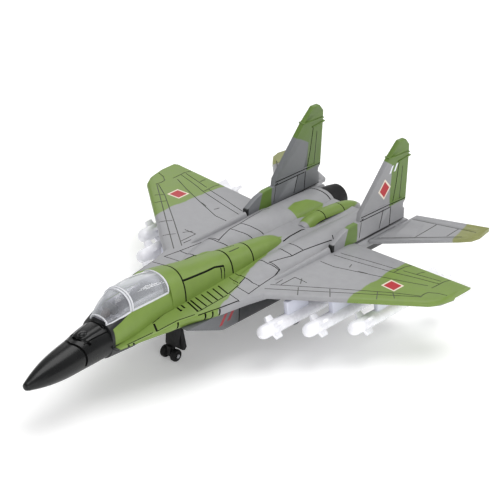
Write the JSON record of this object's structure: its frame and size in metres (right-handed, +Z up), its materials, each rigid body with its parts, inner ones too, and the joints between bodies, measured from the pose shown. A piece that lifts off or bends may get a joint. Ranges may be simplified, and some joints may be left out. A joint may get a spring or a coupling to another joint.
{
  "type": "toy airplane",
  "caption": "Toy jet fighter with two fins, an opening canopy, folding wheels that roll, pivoting tailplanes and stores under swept wings.",
  "frame": {"origin": "on the ground under the middle of the aircraft's length, in its symmetry plane", "axes": "nose towards -Y, up is +Z, the aircraft's own left (port) wing is towards +X; it stands on its three sets of wheels"},
  "size_m": [0.114, 0.161, 0.0482],
  "materials": {
    "camouflage_paint": "satin",
    "belly_plastic": "satin",
    "nose_plastic": "satin",
    "clear_plastic": "clear",
    "cockpit_grey": "satin",
    "dark_grey_plastic": "matt",
    "intake_plastic": "satin",
    "tail_plastic": "satin",
    "nozzle_plastic": "matt",
    "steel": "plain",
    "wheel_plastic": "matt",
    "white_plastic": "gloss",
    "gear_plastic": "satin"
  },
  "bodies": {
    "airframe": {"upper_body": "camouflage_paint", "belly": "belly_plastic", "windscreen": "clear_plastic", "cockpit_tub": "cockpit_grey", "instrument_panel": "dark_grey_plastic", "seat": "dark_grey_plastic", "intake_left": "intake_plastic", "intake_right": "intake_plastic", "fin_left": "tail_plastic", "fin_right": "tail_plastic", "nozzle_left": "nozzle_plastic", "nozzle_right": "nozzle_plastic", "burner_left": "dark_grey_plastic", "burner_right": "dark_grey_plastic", "pylon_inner_left": "white_plastic", "pylon_middle_left": "white_plastic", "pylon_outer_left": "white_plastic", "pylon_inner_right": "white_plastic", "pylon_middle_right": "white_plastic", "pylon_outer_right": "white_plastic", "missile_inner_left": "white_plastic", "missile_middle_left": "white_plastic", "missile_outer_left": "white_plastic", "missile_inner_right": "white_plastic", "missile_middle_right": "white_plastic", "missile_outer_right": "white_plastic", "body_screws": "steel", "nose_cone": "nose_plastic", "nose_leg_pin": "steel", "main_leg_pin_left": "steel", "main_leg_pin_right": "steel"},
    "canopy": {"canopy": "clear_plastic", "canopy_pin": "steel"},
    "tailplane_left": {"tailplane_left": "tail_plastic"},
    "tailplane_right": {"tailplane_right": "tail_plastic"},
    "nose_leg": {"nose_leg": "gear_plastic", "nose_gear_door": "gear_plastic"},
    "nose_wheels": {"nose_axle": "steel", "nose_wheel_left": "wheel_plastic", "nose_wheel_right": "wheel_plastic"},
    "main_leg_left": {"main_leg_left": "gear_plastic", "main_axle_left": "steel"},
    "main_leg_right": {"main_leg_right": "gear_plastic", "main_axle_right": "steel"},
    "main_wheel_left": {"main_wheel_left": "wheel_plastic"},
    "main_wheel_right": {"main_wheel_right": "wheel_plastic"}
  },
  "joints": [
    {"name": "canopy_hinge", "type": "hinge", "parent": "airframe", "child": "canopy", "pos_m": [0, -0.0237, 0.0301], "axis": [-1, 0, 0], "range_deg": [0, 48]},
    {"name": "nose_gear_fold", "type": "hinge", "parent": "airframe", "child": "nose_leg", "pos_m": [0, -0.0188, 0.0138], "axis": [1, 0, 0], "range_deg": [0, 85]},
    {"name": "nose_wheel_spin", "type": "hinge", "parent": "nose_leg", "child": "nose_wheels", "pos_m": [0, -0.0195, 0.0019], "axis": [1, 0, 0], "continuous": true},
    {"name": "main_gear_fold_left", "type": "hinge", "parent": "airframe", "child": "main_leg_left", "pos_m": [0.0114, 0.0219, 0.0128], "axis": [1, 0, 0], "range_deg": [0, 88]},
    {"name": "main_wheel_spin_left", "type": "hinge", "parent": "main_leg_left", "child": "main_wheel_left", "pos_m": [0.01235, 0.0219, 0.0032], "axis": [1, 0, 0], "continuous": true},
    {"name": "tailplane_pivot_left", "type": "hinge", "parent": "airframe", "child": "tailplane_left", "pos_m": [0.017, 0.0619, 0.0194], "axis": [1, 0, 0], "range_deg": [-12, 12]},
    {"name": "main_gear_fold_right", "type": "hinge", "parent": "airframe", "child": "main_leg_right", "pos_m": [-0.0114, 0.0219, 0.0128], "axis": [1, 0, 0], "range_deg": [0, 88]},
    {"name": "main_wheel_spin_right", "type": "hinge", "parent": "main_leg_right", "child": "main_wheel_right", "pos_m": [-0.01235, 0.0219, 0.0032], "axis": [1, 0, 0], "continuous": true},
    {"name": "tailplane_pivot_right", "type": "hinge", "parent": "airframe", "child": "tailplane_right", "pos_m": [-0.017, 0.0619, 0.0194], "axis": [1, 0, 0], "range_deg": [-12, 12]}
  ]
}
